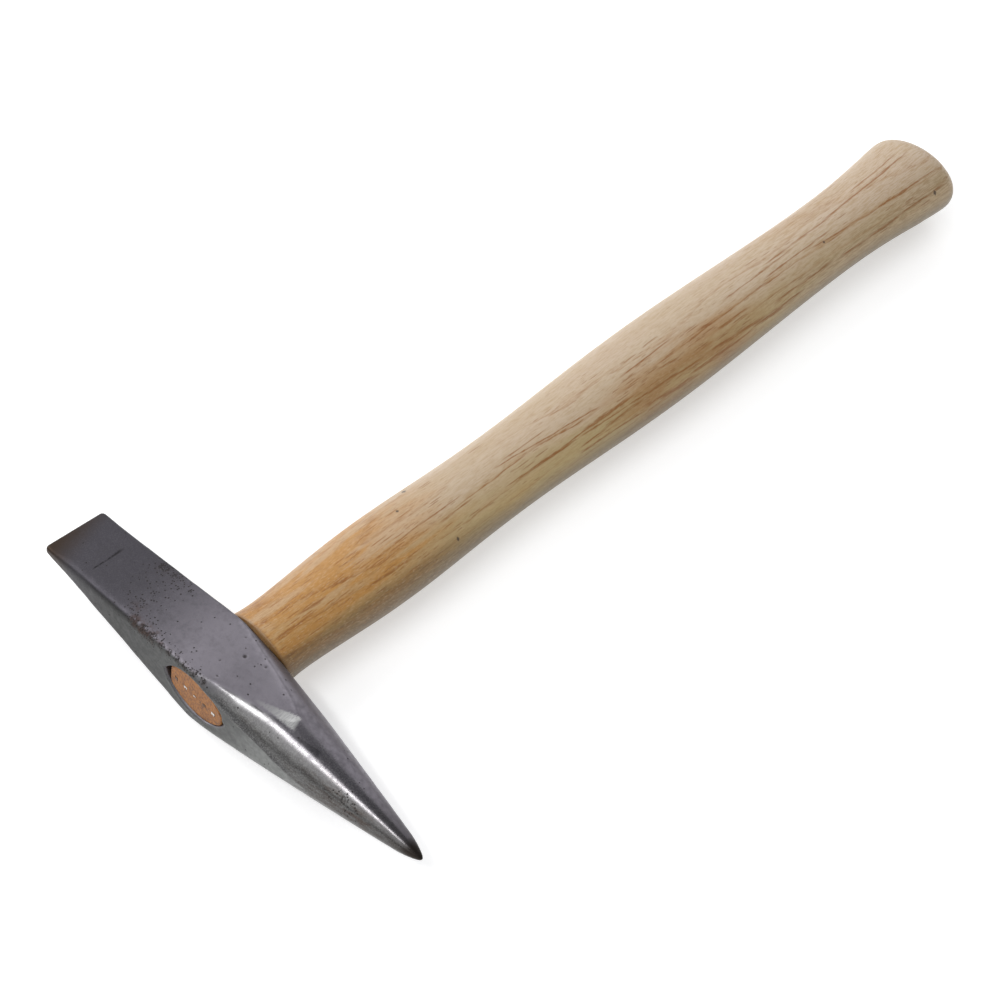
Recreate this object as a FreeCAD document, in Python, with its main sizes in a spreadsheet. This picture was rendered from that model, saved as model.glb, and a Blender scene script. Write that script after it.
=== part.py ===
import FreeCAD, Part
import math
import os
import Sketcher

# Chipping hammer: a forged steel head with a chisel at one end and a ground point at
# the other, hung on an ash handle that a toothed steel wedge locks in the eye.
#
# Every body is drawn about the place where the handle's axis crosses the head:
# X runs from the chisel to the point, Y from the head to the butt, Z across the cheeks.
# The placements at the end lay the hammer on its side, lowest cheek on the XY plane,
# with the origin under the middle of its outline.

doc = FreeCAD.newDocument("chipping_hammer")

# ---- driving dimensions: millimetres and degrees -------------------------------------
DIMENSIONS = {
    "chisel_reach": (68.2, "handle axis to the chisel edge"),
    "point_reach": (82.8, "handle axis to the end of the point"),
    "edge_width": (21.4, "length of the chisel edge, along the handle"),
    "edge_thickness": (2.4, "thickness of the chisel edge"),
    "edge_skew": (4.0, "the edge is ground back by this angle on the butt side"),
    "crown_station": (10.0, "widest place of the head, measured towards the point"),
    "face_height": (12.0, "handle axis crossing to the outer face, at the widest place"),
    "back_height": (13.0, "the same on the butt side"),
    "face_taper": (6.6, "outer face falls away towards the point"),
    "back_taper": (2.6, "butt-side face falls away towards the point"),
    "crown_half": (13.05, "half the thickness where the two cheek slopes would meet"),
    "cheek_taper": (3.0, "cheeks fall away towards the point"),
    "crown_radius": (70.0, "forged blend between the chisel half and the point half"),
    "arris_radius": (0.9, "rounding of the long forged edges"),
    "corner_radius": (1.4, "rounding of the two corners of the chisel edge"),
    "point_angle": (10.5, "half angle of the ground point, where its ogive starts"),
    "point_shift": (0.35, "the point's axis passes the handle's axis on the butt side"),
    "point_droop": (1.5, "the point leans towards the butt"),
    "side_radius": (4000.0, "the ground side is very slightly convex"),
    "ogive_radius": (36.8, "the point's side curves in over its last stretch"),
    "ogive_turn": (13.4, "how far the side turns in there"),
    "tip_radius": (1.05, "rounded end of the point"),
    "eye_lift": (1.3, "the eye and handle sit this far off the head's middle plane"),
    "eye_half_length": (12.9, "half the eye, along the head"),
    "eye_half_width": (8.5, "half the eye, across the cheeks"),
    "eye_chamfer": (0.5, "broken edge round the eye"),
    "tenon_chisel_end": (10.6, "handle axis to the tenon's end towards the chisel"),
    "tenon_point_end": (11.6, "handle axis to the tenon's end towards the point"),
    "tenon_corner": (3.0, "rounding of the tenon's corners"),
    "tenon_reach": (11.4, "handle axis crossing to the end grain in the eye"),
    "tenon_chamfer": (0.5, "broken edge round the end grain"),
    "grip_ratio": (0.78, "handle thickness over its width, at every station"),
    "butt_reach": (301.1, "axis crossing to the middle of the butt's end"),
    "butt_skew": (11.3, "the butt's end is cut at a slant, longer on the point's side"),
    "dome_radius": (160.0, "slightly domed end of the butt"),
    "rim_radius": (5.0, "rounding of the butt's rim"),
    "wedge_width": (18.0, "wedge, along the head"),
    "wedge_length": (16.0, "wedge, along the handle, teeth included"),
    "wedge_thick": (1.6, "wedge at its driven end"),
    "wedge_thin": (0.5, "wedge at its leading end"),
    "tooth_width": (1.6, "one tooth on the driven end"),
    "tooth_height": (1.0, "teeth stand this far above the wedge's shoulder"),
    "tooth_pitch": (4.0, "middle of one tooth to the middle of the next"),
    "tooth_count": (5, "teeth on the driven end"),
    "overrun": (6.0, "cutting outlines run this far past the blank"),
}

# Handle stations: distance from the axis crossing, and the width of the oval there.
# The last one is the end of the stock, which the butt's slanted end is cut from.
STATIONS = {
    "shoulder": (13.0, 26.8),
    "neck": (30.0, 26.4),
    "belly": (56.0, 29.1),
    "waist": (105.0, 26.9),
    "swell": (172.0, 29.9),
    "small": (238.0, 26.4),
    "flare": (278.0, 27.9),
    "stock": (307.0, 30.3),
}

AXIS_X = FreeCAD.Vector(1, 0, 0)
AXIS_Y = FreeCAD.Vector(0, 1, 0)
AXIS_Z = FreeCAD.Vector(0, 0, 1)


def fill_sheet():
    """The spreadsheet: one row per dimension, with its name, number, alias and note."""
    rows = [(alias, number, note) for alias, (number, note) in DIMENSIONS.items()]
    for station, (distance, width) in STATIONS.items():
        rows.append((f"{station}_at", distance, f"handle {station}, from the axis crossing"))
        rows.append((f"{station}_wide", width, f"handle {station}, width of the oval"))
    for row, (alias, number, note) in enumerate(rows, 1):
        sheet.set(f"A{row}", alias)
        sheet.set(f"B{row}", str(number))
        sheet.setAlias(f"B{row}", alias)
        sheet.set(f"C{row}", note)
    doc.recompute()


sheet = doc.addObject("Spreadsheet::Sheet", "Dim")
fill_sheet()


def value(expression):
    """The number that an expression on the sheet works out to."""
    result = sheet.evalExpression(expression)
    return float(getattr(result, "Value", result))


# ---- sketches ------------------------------------------------------------------------
def new_sketch(body, name, role):
    """An empty sketch on one of the body's own origin planes."""
    plane = next(item for item in body.Origin.OriginFeatures if item.Role == role)
    sketch = body.newObject("Sketcher::SketchObject", name)
    sketch.AttachmentSupport = [(plane, "")]
    sketch.MapMode = "FlatFace"
    return sketch


def cross_sketch(body, name, station):
    """A sketch across the handle's axis, at a distance from the axis crossing."""
    sketch = new_sketch(body, name, "XZ_Plane")
    sketch.setExpression(".AttachmentOffset.Base.z", f"-({station})")
    return sketch


def point(place):
    """Sketch position of a pair of expressions."""
    return FreeCAD.Vector(value(place[0]), value(place[1]), 0)


def pin(sketch, edge, end, place):
    """Hold one end of an edge at a pair of expressions, measured from the origin."""
    for kind, expression in zip(("DistanceX", "DistanceY"), place):
        constraint = Sketcher.Constraint(kind, -1, 1, edge, end, value(expression))
        index = sketch.addConstraint(constraint)
        sketch.setExpression(f"Constraints[{index}]", expression)


def measure(sketch, kind, edge, expression):
    """Give an edge a length or a radius from the sheet."""
    index = sketch.addConstraint(Sketcher.Constraint(kind, edge, value(expression)))
    sketch.setExpression(f"Constraints[{index}]", expression)


def outline(sketch, steps):
    """A closed outline, anticlockwise where it has arcs.

    Each step is the place where an edge starts. A step that goes on with a centre and
    a radius starts an arc; any other starts a straight edge.
    """
    edges = []
    for (start, *arc), (end, *_) in zip(steps, steps[1:] + steps[:1]):
        if arc:
            centre, radius = arc
            circle = Part.Circle(point(centre), AXIS_Z, value(radius))
            first, last = circle.parameter(point(start)), circle.parameter(point(end))
            edge = sketch.addGeometry(Part.ArcOfCircle(circle, first, last), False)
            measure(sketch, "Radius", edge, radius)
        else:
            edge = sketch.addGeometry(Part.LineSegment(point(start), point(end)), False)
        pin(sketch, edge, 1, start)
        edges.append(edge)
    for edge, following in zip(edges, edges[1:] + edges[:1]):
        sketch.addConstraint(Sketcher.Constraint("Coincident", edge, 2, following, 1))


def rectangle(sketch, middle, wide, high):
    """A rectangle whose middle is on the sketch's horizontal axis."""
    left, right = f"{middle} - {wide} / 2", f"{middle} + {wide} / 2"
    low, top = f"-{high} / 2", f"{high} / 2"
    outline(sketch, [((left, low),), ((right, low),), ((right, top),), ((left, top),)])


def oval(sketch, wide, high):
    """An ellipse about the origin, with its two axes bound."""
    ellipse = Part.Ellipse(FreeCAD.Vector(0, 0, 0), value(wide) / 2, value(high) / 2)
    edge = sketch.addGeometry(ellipse, False)
    sketch.exposeInternalGeometry(edge)
    long_axis, short_axis = edge + 1, edge + 2
    sketch.addConstraint(Sketcher.Constraint("Coincident", edge, 3, -1, 1))
    sketch.addConstraint(Sketcher.Constraint("Horizontal", long_axis))
    measure(sketch, "Distance", long_axis, wide)
    measure(sketch, "Distance", short_axis, high)


EYE_RADIUS = ("((Dim.eye_half_length ^ 2 + Dim.eye_half_width ^ 2)"
              " / (2 * Dim.eye_half_width))")


def flank(across, side, lift):
    """Places on the eye's upper (1) or lower (-1) flank: the arc's start and its centre."""
    centre = f"{lift} - {side} * ({EYE_RADIUS} - Dim.eye_half_width)"
    return (across, f"{centre} + {side} * sqrt({EYE_RADIUS} ^ 2 - ({across}) ^ 2)"), ("0", centre)


# ---- features ------------------------------------------------------------------------
def extrude(body, kind, name, sketch, length, side="Symmetric", backwards=False):
    """Pad or pocket a sketch, and prove that the body's volume changed."""
    doc.recompute()
    before = body.Shape.Volume if body.Tip else 0
    feature = body.newObject(f"PartDesign::{kind}", name)
    feature.Profile = sketch
    feature.SideType = side
    feature.Reversed = backwards
    feature.setExpression("Length", length)
    confirm(feature, before, grows=kind == "Pad")
    return feature


def loft(body, kind, name, sections):
    """Loft through sketches, adding or cutting, and prove that it did."""
    doc.recompute()
    before = body.Shape.Volume if body.Tip else 0
    feature = body.newObject(f"PartDesign::{kind}", name)
    feature.Profile = sections[0]
    feature.Sections = sections[1:]
    confirm(feature, before, grows=kind == "AdditiveLoft")
    return feature


def groove(body, name, sketch, axis):
    """Turn a sketch round one of its axes, and cut what it sweeps."""
    doc.recompute()
    before = body.Shape.Volume
    feature = body.newObject("PartDesign::Groove", name)
    feature.Profile = sketch
    feature.ReferenceAxis = (sketch, [axis])
    feature.Angle = 360
    confirm(feature, before, grows=False)
    return feature


def repeat(body, name, original, sketch):
    """Repeat a tooth or its pocket along the wedge; the first one is at the chisel end."""
    doc.recompute()
    pattern = body.newObject("PartDesign::LinearPattern", name)
    pattern.Originals = [original]
    pattern.Direction = (sketch, ["H_Axis"])
    pattern.setExpression("Length", "Dim.tooth_pitch * (Dim.tooth_count - 1)")
    pattern.setExpression("Occurrences", "Dim.tooth_count")
    body.Tip = pattern
    doc.recompute()


def confirm(feature, before, grows):
    """Stop where a feature failed, or went the wrong way and changed nothing."""
    doc.recompute()
    if feature.Shape.isNull():
        raise RuntimeError(f"{feature.Name} has no shape")
    change = feature.Shape.Volume - before
    if (change if grows else -change) < 0.1:
        raise RuntimeError(f"{feature.Name} changed nothing")


def dress(body, kind, name, size, wanted):
    """Fillet or chamfer the edges of the body that a test picks out."""
    doc.recompute()
    base = body.Tip
    picked = [f"Edge{number}" for number, edge in enumerate(base.Shape.Edges, 1)
              if wanted(edge)]
    feature = body.newObject(f"PartDesign::{kind}", name)
    feature.Base = (base, picked)
    feature.setExpression("Radius" if kind == "Fillet" else "Size", size)
    doc.recompute()
    if feature.Shape.isNull():
        raise RuntimeError(f"{name} has no shape")


def runs_along(edge, axis):
    """True where the line between an edge's ends lies within 0.3 rad of an axis."""
    run = edge.lastVertex().Point - edge.firstVertex().Point
    return run.Length > 0 and abs(run.normalize().dot(axis)) > math.cos(0.3)


def in_box(edge, low, high):
    """True where an edge lies wholly inside a box given by two corners."""
    box = edge.BoundBox
    return (low[0] < box.XMin and box.XMax < high[0]
            and low[1] < box.YMin and box.YMax < high[1]
            and low[2] < box.ZMin and box.ZMax < high[2])


# ---- head ----------------------------------------------------------------------------
def make_head():
    """Forged head, drawn about its own middle plane; the eye is a little above that."""
    body = doc.addObject("PartDesign::Body", "head")
    forge_blank(body)
    shape_cheeks(body)
    round_edges(body)
    grind_point(body)
    punch_eye(body)
    return body


PAST_POINT = "(Dim.point_reach + Dim.overrun)"


def forge_blank(body):
    """Outline seen from the cheek: skewed edge, widest at the crown, then tapering."""
    plan = new_sketch(body, "head_plan", "XY_Plane")
    taper_run = f"({PAST_POINT} - Dim.crown_station)"
    outline(plan, [
        (("-Dim.chisel_reach", "-Dim.edge_width / 2"),),
        (("Dim.crown_station", "-Dim.face_height"),),
        ((PAST_POINT, f"-Dim.face_height + {taper_run} * tan(Dim.face_taper * 1deg)"),),
        ((PAST_POINT, f"Dim.back_height - {taper_run} * tan(Dim.back_taper * 1deg)"),),
        (("Dim.crown_station", "Dim.back_height"),),
        (("-Dim.chisel_reach + Dim.edge_width * tan(Dim.edge_skew * 1deg)",
          "Dim.edge_width / 2"),),
    ])
    extrude(body, "Pad", "head_blank", plan, "2 * (Dim.crown_half + Dim.overrun)")
    station = value("Dim.crown_station")
    dress(body, "Fillet", "side_crowns", "Dim.crown_radius",
          lambda edge: runs_along(edge, AXIS_Z) and abs(edge.CenterOfMass.x - station) < 1)


def shape_cheeks(body):
    """Cheeks: a long slope down to the edge, and an easy one towards the point."""
    cheeks = new_sketch(body, "cheek_outlines", "XZ_Plane")
    before_edge = "-(Dim.chisel_reach + Dim.overrun)"
    slope = "(Dim.crown_half - Dim.edge_thickness / 2) / Dim.chisel_reach"
    low = f"(Dim.edge_thickness / 2 - Dim.overrun * {slope})"
    fallen = f"(Dim.crown_half - {PAST_POINT} * tan(Dim.cheek_taper * 1deg))"
    clear = "(Dim.crown_half + 2 * Dim.overrun)"
    profile = [(before_edge, low), ("0", "Dim.crown_half"), (PAST_POINT, fallen),
               (PAST_POINT, clear), (before_edge, clear)]
    for side in ("1", "-1"):
        outline(cheeks, [((across, f"{side} * {up}"),) for across, up in profile])
    extrude(body, "Pocket", "cheeks", cheeks, "4 * Dim.face_height")
    dress(body, "Fillet", "cheek_crowns", "Dim.crown_radius",
          lambda edge: runs_along(edge, AXIS_Y) and abs(edge.CenterOfMass.x) < 1)


def round_edges(body):
    """Corners of the chisel edge, then every long forged edge in one chain each."""
    near_edge = value("-Dim.chisel_reach") + 2
    dress(body, "Fillet", "edge_corners", "Dim.corner_radius",
          lambda edge: runs_along(edge, AXIS_Z) and edge.CenterOfMass.x < near_edge)
    dress(body, "Fillet", "arrises", "Dim.arris_radius",
          lambda edge: runs_along(edge, AXIS_X) and edge.Length > 5)


def grind_point(body):
    """Grind away all that is outside a drooping, barely convex point with an ogival end."""
    profile = new_sketch(body, "point_profile", "XY_Plane")
    profile.setExpression(".AttachmentOffset.Base.y", "Dim.point_shift")
    profile.setExpression(".AttachmentOffset.Rotation.Angle", "Dim.point_droop")
    steep = "((Dim.point_angle + Dim.ogive_turn) * 1deg)"
    gentle = "(Dim.point_angle * 1deg)"
    tip_middle = ("Dim.point_reach - Dim.tip_radius", "0")
    tip_end = (f"{tip_middle[0]} + Dim.tip_radius * sin({steep})",
               f"Dim.tip_radius * cos({steep})")
    ogive_middle = (f"{tip_end[0]} - Dim.ogive_radius * sin({steep})",
                    f"{tip_end[1]} - Dim.ogive_radius * cos({steep})")
    ogive_end = (f"{ogive_middle[0]} + Dim.ogive_radius * sin({gentle})",
                 f"{ogive_middle[1]} + Dim.ogive_radius * cos({gentle})")
    side_middle = (f"{ogive_end[0]} - Dim.side_radius * sin({gentle})",
                   f"{ogive_end[1]} - Dim.side_radius * cos({gentle})")
    before_crown = "-2 * Dim.overrun"
    side_start = (before_crown,
                  f"{side_middle[1]} + sqrt(Dim.side_radius ^ 2"
                  f" - ({before_crown} - ({side_middle[0]})) ^ 2)")
    clear, past_blank = "3 * Dim.crown_half", "Dim.point_reach + 3 * Dim.overrun"
    outline(profile, [
        (("Dim.point_reach", "0"), tip_middle, "Dim.tip_radius"),
        (tip_end, ogive_middle, "Dim.ogive_radius"),
        (ogive_end, side_middle, "Dim.side_radius"),
        (side_start,),
        ((before_crown, clear),),
        ((past_blank, clear),),
        ((past_blank, "0"),),
    ])
    groove(body, "ground_point", profile, "H_Axis")


def punch_eye(body):
    """Eye: two flanks that meet in a point at each end, with its mouths broken."""
    sketch = new_sketch(body, "eye_outline", "XZ_Plane")
    outline(sketch, [
        flank("Dim.eye_half_length", "1", "Dim.eye_lift") + (EYE_RADIUS,),
        flank("-Dim.eye_half_length", "-1", "Dim.eye_lift") + (EYE_RADIUS,),
    ])
    extrude(body, "Pocket", "eye", sketch, "4 * Dim.face_height")
    reach, lift = value("Dim.eye_half_length") + 0.1, value("Dim.eye_lift")
    top = value("Dim.eye_half_width") + 0.1
    shallow = value("Dim.edge_width") / 2
    face_box = (-reach, -99, lift - top), (reach, -shallow, lift + top)
    back_box = (-reach, shallow, lift - top), (reach, 99, lift + top)
    dress(body, "Chamfer", "eye_mouths", "Dim.eye_chamfer",
          lambda edge: in_box(edge, *face_box) or in_box(edge, *back_box))


# ---- handle --------------------------------------------------------------------------
def make_handle():
    """Ash handle: oval grip with two swells, a domed butt, and a tenon in the eye."""
    body = doc.addObject("PartDesign::Body", "handle")
    sections = []
    for name in STATIONS:
        section = cross_sketch(body, f"oval_{name}", f"Dim.{name}_at")
        oval(section, f"Dim.{name}_wide", f"Dim.{name}_wide * Dim.grip_ratio")
        sections.append(section)
    loft(body, "AdditiveLoft", "grip", sections)
    dome_butt(body)
    cut_tenon(body)
    cut_wedge_slot(body)
    return body


def dome_butt(body):
    """The butt's slanted end, sawn and sanded to a slight dome, with its rim rounded over."""
    profile = new_sketch(body, "dome_profile", "XY_Plane")
    profile.setExpression(".AttachmentOffset.Base.y", "Dim.butt_reach")
    profile.setExpression(".AttachmentOffset.Rotation.Angle", "Dim.butt_skew")
    middle, side = "-Dim.dome_radius", "0.75 * Dim.stock_wide"
    past_stock = "3 * Dim.overrun"
    outline(profile, [
        ((side, f"{middle} + sqrt(Dim.dome_radius ^ 2 - ({side}) ^ 2)"),
         ("0", middle), "Dim.dome_radius"),
        (("0", "0"),),
        (("0", past_stock),),
        ((side, past_stock),),
    ])
    groove(body, "dome", profile, "V_Axis")
    near_end = value("Dim.butt_reach - Dim.overrun")
    dress(body, "Fillet", "rim", "Dim.rim_radius",
          lambda edge: edge.CenterOfMass.y > near_end and not runs_along(edge, AXIS_Y)
          and edge.Length > 10)


def cut_tenon(body):
    """Tenon: the eye's two flanks, cut short at the ends so that gaps stay there."""
    sketch = cross_sketch(body, "tenon_outline", "Dim.shoulder_at")
    left, right = "-Dim.tenon_chisel_end", "Dim.tenon_point_end"
    upper, lower = flank(right, "1", "0"), flank(left, "-1", "0")
    outline(sketch, [
        upper + (EYE_RADIUS,),
        (flank(left, "1", "0")[0],),
        lower + (EYE_RADIUS,),
        (flank(right, "-1", "0")[0],),
    ])
    extrude(body, "Pad", "tenon", sketch, "Dim.shoulder_at + Dim.tenon_reach", "One side")
    shoulder = value("Dim.shoulder_at")
    dress(body, "Fillet", "tenon_corners", "Dim.tenon_corner",
          lambda edge: runs_along(edge, AXIS_Y) and edge.CenterOfMass.y < shoulder - 1)
    end_grain = value("-Dim.tenon_reach")
    dress(body, "Chamfer", "tenon_edge", "Dim.tenon_chamfer",
          lambda edge: abs(edge.CenterOfMass.y - end_grain) < 0.01)


# ---- wedge, and the slot that it makes in the handle -----------------------------------
SHOULDER_AT = "-Dim.tenon_reach + Dim.tooth_height"


def wedge_sections(body, name):
    """The wedge's two ends as rectangles across the handle's axis."""
    driven = cross_sketch(body, f"{name}_driven_end", SHOULDER_AT)
    rectangle(driven, "0", "Dim.wedge_width", "Dim.wedge_thick")
    leading = cross_sketch(body, f"{name}_leading_end", "-Dim.tenon_reach + Dim.wedge_length")
    rectangle(leading, "0", "Dim.wedge_width", "Dim.wedge_thin")
    return [driven, leading]


def tooth_sketch(body, name):
    """Cross-section of the first tooth, the one nearest the chisel."""
    sketch = cross_sketch(body, name, SHOULDER_AT)
    first = "-Dim.tooth_pitch * (Dim.tooth_count - 1) / 2"
    rectangle(sketch, first, "Dim.tooth_width", "Dim.wedge_thick")
    return sketch


def cut_wedge_slot(body):
    """Slot in the tenon, the exact shape of the wedge and its teeth."""
    loft(body, "SubtractiveLoft", "wedge_slot", wedge_sections(body, "slot"))
    sketch = tooth_sketch(body, "slot_tooth_outline")
    tooth = extrude(body, "Pocket", "slot_tooth", sketch, "Dim.tooth_height", "One side", True)
    repeat(body, "slot_teeth", tooth, sketch)


def make_wedge():
    """Toothed steel wedge: thin at its leading end, teeth level with the end grain."""
    body = doc.addObject("PartDesign::Body", "wedge")
    loft(body, "AdditiveLoft", "wedge_blade", wedge_sections(body, "wedge"))
    sketch = tooth_sketch(body, "wedge_tooth_outline")
    tooth = extrude(body, "Pad", "wedge_tooth", sketch, "Dim.tooth_height", "One side")
    repeat(body, "wedge_teeth", tooth, sketch)
    return body


# ---- placing, checking and writing -----------------------------------------------------
def place(body, drop):
    """Move a body from the axis crossing to the hammer's own frame."""
    shifts = {
        "x": "(Dim.chisel_reach - Dim.point_reach) / 2",
        "y": f"(Dim.face_height - {HANDLE_END}) / 2",
        "z": f"{REST_HEIGHT} - {drop}",
    }
    for axis, shift in shifts.items():
        body.setExpression(f".Placement.Base.{axis}", shift)


# Furthest place of the butt: where the rounding of its longer side turns over.
HANDLE_END = ("(Dim.butt_reach + (Dim.stock_wide / 2 - Dim.rim_radius) * tan(Dim.butt_skew * 1deg)"
              " + Dim.rim_radius * (1 - 1 / cos(Dim.butt_skew * 1deg)))")

# Handle axis above the surface: the cheek slopes meet at crown_half, and the crown's
# blend takes a little off there.
CHISEL_SLOPE = "atan((Dim.crown_half - Dim.edge_thickness / 2) / Dim.chisel_reach)"
HALF_TURN = f"(({CHISEL_SLOPE} + Dim.cheek_taper * 1deg) / 2)"
CROWN_LOSS = (f"Dim.crown_radius * (cos({HALF_TURN} - Dim.cheek_taper * 1deg)"
              f" / cos({HALF_TURN}) - 1)")
REST_HEIGHT = f"(Dim.crown_half - {CROWN_LOSS} + Dim.eye_lift)"

parts = {"head": make_head(), "handle": make_handle(), "wedge": make_wedge()}
for label, part in parts.items():
    part.Label = label
    place(part, "Dim.eye_lift" if label == "head" else "0")
doc.recompute()

for item in doc.Objects:
    if "Invalid" in item.State or "Error" in item.State:
        raise RuntimeError(f"{item.Name} failed: {item.State}")
for label, part in parts.items():
    if part.Shape.isNull() or not part.Shape.isValid() or len(part.Shape.Solids) != 1:
        raise RuntimeError(f"{label} is not one valid solid")

os.makedirs("parts", exist_ok=True)
for label, part in parts.items():
    part.Shape.exportStep(f"parts/{label}.step")
    box = part.Shape.optimalBoundingBox(False, False)
    corners = [round(corner, 2) for corner in
               (box.XMin, box.YMin, box.ZMin, box.XMax, box.YMax, box.ZMax)]
    print(label, f"{part.Shape.Volume:.0f} mm3", corners)
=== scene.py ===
import math

import bmesh
import bpy
import numpy as np
from mathutils import Matrix, Vector, noise
from mathutils.bvhtree import BVHTree


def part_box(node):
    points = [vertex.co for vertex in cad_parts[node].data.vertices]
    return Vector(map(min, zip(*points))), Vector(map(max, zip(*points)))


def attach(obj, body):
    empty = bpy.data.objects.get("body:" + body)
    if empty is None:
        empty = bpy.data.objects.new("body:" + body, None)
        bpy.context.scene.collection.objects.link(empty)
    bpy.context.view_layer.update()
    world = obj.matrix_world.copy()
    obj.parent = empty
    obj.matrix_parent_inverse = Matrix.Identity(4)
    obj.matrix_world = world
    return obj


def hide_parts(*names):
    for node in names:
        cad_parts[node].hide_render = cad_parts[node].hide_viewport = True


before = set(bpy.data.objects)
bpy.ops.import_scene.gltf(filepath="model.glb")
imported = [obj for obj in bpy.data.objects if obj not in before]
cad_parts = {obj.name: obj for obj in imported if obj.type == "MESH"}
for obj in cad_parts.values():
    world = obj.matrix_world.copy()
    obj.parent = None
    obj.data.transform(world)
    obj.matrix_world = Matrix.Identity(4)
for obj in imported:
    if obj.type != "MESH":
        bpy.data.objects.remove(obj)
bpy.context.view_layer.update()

# Chipping hammer lying on its side: forged steel head, ash handle, toothed steel wedge.
# Metres; +X from the chisel edge to the point, +Y from the head to the butt, +Z up.

MM = 0.001
HEAD_LOW, HEAD_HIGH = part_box("head")
HANDLE_LOW, HANDLE_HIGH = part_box("handle")

# ---- places on the hammer, from the frame ----------------------------------------------
TENON_REACH = 11.4 * MM                              # axis crossing to the end grain
CROSSING = Vector(((HANDLE_LOW.x + HANDLE_HIGH.x) / 2,
                   HANDLE_LOW.y + TENON_REACH,
                   (HEAD_LOW.z + HEAD_HIGH.z) / 2))  # handle axis meets the head's middle
AXIS_Z = (HANDLE_LOW.z + HANDLE_HIGH.z) / 2          # handle axis above the floor
SHOULDER_Y = HEAD_HIGH.y                             # handle's shoulder on the head
EYE_HALF_LENGTH = 12.9 * MM
EYE_HALF_WIDTH = 8.5 * MM

# ---- head ------------------------------------------------------------------------------
HEAD_VOXEL = 0.31 * MM
ARRIS_STEPS = 34                                     # averaging steps that soften an arris
BLEND_STEPS = 110                                    # more, where a cheek runs out on the point
FORGED_DEPTH = 0.16 * MM                             # hammered unevenness of the cheeks
GROUND_DEPTH = 0.02 * MM                             # ripple left by the grinding wheel
GROUND_TILT = 0.15                                   # surface leans this far to the point
MASK_STEPS = 4                                       # averaging steps that soften a mask
NORMAL_STEPS = 6                                     # and those that calm the normals
DEEP_DENT = 0.16                                     # a dent this deep is fully dark, mm
STRAY_PITS = 0.012                                   # pit density outside the clusters
DENTS = (                                            # x, y, radius, depth: millimetres
    (4.3, 3.8, 1.15, 0.18),
    (4.1, -6.6, 0.55, 0.16),
    (0.6, -2.5, 0.60, 0.14),
    (-0.5, 8.4, 0.50, 0.12),
    (10.9, 6.1, 0.80, 0.13),
    (-33.0, 9.5, 0.55, 0.14),
    (-12.0, 1.5, 0.50, 0.08),
    (-26.0, -3.0, 0.45, 0.08),
)
PIT_CLUSTERS = (                                     # x, y, z, reach, density: millimetres
    (-28.0, -10.4, 8.0, 2.8, 0.8),
    (-24.0, -10.8, 8.8, 3.0, 1.0),
    (-20.0, -10.9, 9.5, 3.0, 1.0),
    (-15.5, -11.1, 10.3, 2.0, 0.95),
    (-12.0, -11.2, 10.9, 2.0, 0.95),
    (-8.5, -11.3, 11.4, 2.0, 1.0),
    (-5.0, -11.4, 11.8, 2.0, 1.0),
    (-1.5, -11.3, 12.1, 2.0, 1.0),
    (2.5, -10.8, 11.8, 1.8, 0.9),
    (-37.0, 9.2, 6.6, 3.6, 0.95),
    (-32.0, 9.6, 7.5, 4.6, 0.75),
    (-26.0, 8.8, 8.6, 3.5, 0.40),
    (-38.0, 4.0, 6.6, 4.0, 0.40),
    (-31.0, -4.8, 7.7, 4.5, 0.60),
    (-31.0, 0.0, 8.0, 6.0, 0.18),
    (54.5, -3.4, 4.6, 2.6, 0.8),
    (57.5, -3.6, 3.4, 3.0, 0.5),
)

# ---- handle ----------------------------------------------------------------------------
RING_STEP = 1.3 * MM
AROUND = 144                                         # points in one ring
BUTT_DEPTH = 16 * MM                                 # rounded stretch before the end
BUTT_RINGS = 30
GRAIN_RECESS = 0.15 * MM                             # end grain below the teeth's tops
SAW_ROUGHNESS = 0.07 * MM
CREVICE = 0.06 * MM                                  # wood stands this far off the wedge
TENON_BREAK = 0.5 * MM                               # broken edge of the end grain
SHOULDER_BREAK = 0.35 * MM                           # and of the shoulder
SANDED_DEPTH = 0.06 * MM                             # unevenness of the sanded grip
PROFILE_DEGREE = 15                                  # of the curve through the CAD's widths
RAY_START = 50                                       # millimetres, well outside the tenon
RING_WIDTH = 2.9                                     # one year of the tree, in millimetres
PITH_X, PITH_Z = 24.0, -58.0                         # where the rings' middle is, the same

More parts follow.
